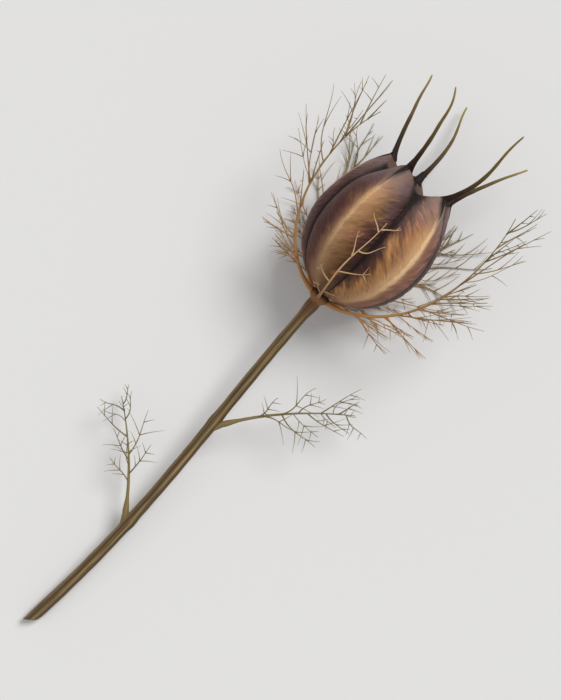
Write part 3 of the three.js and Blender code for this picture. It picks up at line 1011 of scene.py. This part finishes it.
def jointFinish():
    material, wire = newFinish("joint")
    height = wire.field("height")
    mottle = wire.noise(wire.place(), 600.0, 4.0)
    # brown by the stem, near black towards the pod: the joint's own dark ring, with painted shadow under
    # the pod's foot and between the bracts
    stops = [
        (0.0, tone(112, 76, 38)),
        (0.45, tone(150, 98, 48)),
        (0.75, tone(84, 48, 24)),
        (1.0, tone(30, 16, 9)),
    ]
    colour = wire.node("ShaderNodeValToRGB", {"stops": stops}, {"Fac": height + 0.3 * (mottle - 0.5)})
    closeFinish(wire, {
        "Base Color": colour,
        "Roughness": 0.5 + 0.3 * mottle,
        "Normal": wire.bump(mottle, 0.4, 0.0002),
    })
    return material


def makeJoint():
    share = np.linspace(0, 1, joint["rows"])[:, None]
    azimuth = 2 * np.pi * np.arange(joint["sides"])[None] / joint["sides"]
    along = joint["low"] + (joint["high"] - joint["low"]) * share
    swell = np.exp(-(((along - joint["swellAt"]) / joint["swellLength"]) ** 2))
    radius = stem["radius"] + joint["proud"] + joint["swell"] * swell
    alongLobe = (along - joint["lobeAt"]) / joint["lobeLength"]
    for bract in bracts:
        away = azimuth - math.radians(bract["azimuth"])
        away = np.arctan2(np.sin(away), np.cos(away))
        radius = radius + joint["lobe"] * np.exp(-((away / joint["lobeWidth"]) ** 2) - alongLobe**2)
    rings = polar(along, radius, azimuth)
    rings = rings + joint["grainHeight"] * ripple(rings, joint["grainSize"], 6)[..., None]
    makePiece("joint", [(rings[None], {"height": share})], jointFinish(), "stem")


print("growing the pod")
makeHusk()
makeHorns()
makeJoint()
makeStem()
print("growing the ruff and the leaves")
ruffFinish = frondFinish("ruff")
paleFinish = frondFinish("pale_ruff")
for number, bract in enumerate(bracts):
    makeBract(bract, number, paleFinish if bract["bare"] else ruffFinish)
leafFinish = frondFinish("leaf")
for number, leaf in enumerate(leaves):
    makeLeaf(leaf, number, leafFinish)


# A pale floor, soft light from the upper right of the view, and a camera that looks down on the pod.
stage = {
    "azimuth": math.radians(42),
    "elevation": math.radians(88),
    "lens": 100.0,
    "sensor": 36.0,
    "frameWidth": 561,
    "frameHeight": 700,
    "margin": 1.06,
    "nearest": 0.01,
    "floor": tone(229, 229, 229),
    "floorSize": 40.0,
    "room": tone(238, 238, 238),
    "roomLight": 0.42,
    "roomSeen": 0.9,
}


def viewAxes():
    turn, rise = stage["azimuth"], stage["elevation"]
    back = np.array([
        math.sin(turn) * math.cos(rise),
        -math.cos(turn) * math.cos(rise),
        math.sin(rise),
    ])
    right = np.array([math.cos(turn), math.sin(turn), 0.0])
    return right, np.cross(back, right), back


# the camera stands back until the whole pod fits the frame with a margin
def setCamera():
    right, up, back = viewAxes()
    spots = np.concatenate(allSpots)
    spans = [(spots @ axis).min() + (spots @ axis).max() for axis in (right, up, back)]
    middle = sum(axis * span / 2 for axis, span in zip((right, up, back), spans))
    wide = np.ptp(spots @ right) * stage["frameHeight"] / stage["frameWidth"]
    half = stage["margin"] * max(wide, np.ptp(spots @ up)) / 2
    data = bpy.data.cameras.new("camera")
    data.lens = stage["lens"]
    data.sensor_width = stage["sensor"]
    data.clip_start = stage["nearest"]
    camera = bpy.data.objects.new("camera", data)
    camera.location = middle + back * half * 2 * stage["lens"] / stage["sensor"]
    camera.rotation_euler = Vector(-back).to_track_quat("-Z", "Y").to_euler()
    bpy.context.scene.collection.objects.link(camera)
    bpy.context.scene.camera = camera


# a distant soft light from a side of the view: right, up the frame and above the floor
def addLight(name, aim, softness, power, colour):
    right, up, _ = viewAxes()
    away = unit(right * aim[0] + up * np.array([1, 1, 0]) * aim[1] + np.array([0, 0, aim[2]]))
    data = bpy.data.lights.new(name, "SUN")
    data.angle = softness
    data.energy = power
    data.color = colour
    light = bpy.data.objects.new(name, data)
    light.location = away
    light.rotation_euler = Vector(away).to_track_quat("Z", "Y").to_euler()
    bpy.context.scene.collection.objects.link(light)


def setRoom():
    world = bpy.data.worlds.new("room")
    world.use_nodes = True
    world.node_tree.nodes.clear()
    wire = Wire(world.node_tree)
    seen = wire.node("ShaderNodeLightPath", out="Is Camera Ray")
    strength = stage["roomLight"] + (stage["roomSeen"] - stage["roomLight"]) * seen
    room = wire.node("ShaderNodeBackground", inputs={"Color": stage["room"], "Strength": strength})
    wire.node("ShaderNodeOutputWorld", inputs={"Surface": room})
    bpy.context.scene.world = world


def setStage():
    material, wire = newFinish("floor")
    closeFinish(wire, {"Base Color": stage["floor"], "Roughness": 0.85, "Specular IOR Level": 0.1})
    reach = stage["floorSize"] / 2
    mesh = bpy.data.meshes.new("floor")
    corners = [(-reach, -reach, 0), (reach, -reach, 0), (reach, reach, 0), (-reach, reach, 0)]
    mesh.from_pydata(corners, [], [(0, 1, 2, 3)])
    mesh.materials.append(material)
    floor = bpy.data.objects.new("floor", mesh)
    bpy.context.scene.collection.objects.link(floor)
    setRoom()
    softKey, softFill = math.radians(28), math.radians(60)
    addLight("key", aim=(0.9, 0.7, 1.3), softness=softKey, power=2.2, colour=(1.0, 0.985, 0.965))
    addLight("fill", aim=(-1.0, -0.2, 1.2), softness=softFill, power=0.35, colour=(0.96, 0.98, 1.0))
    bpy.context.scene.view_settings.view_transform = "Standard"


setStage()
setCamera()
print("stage and camera set")
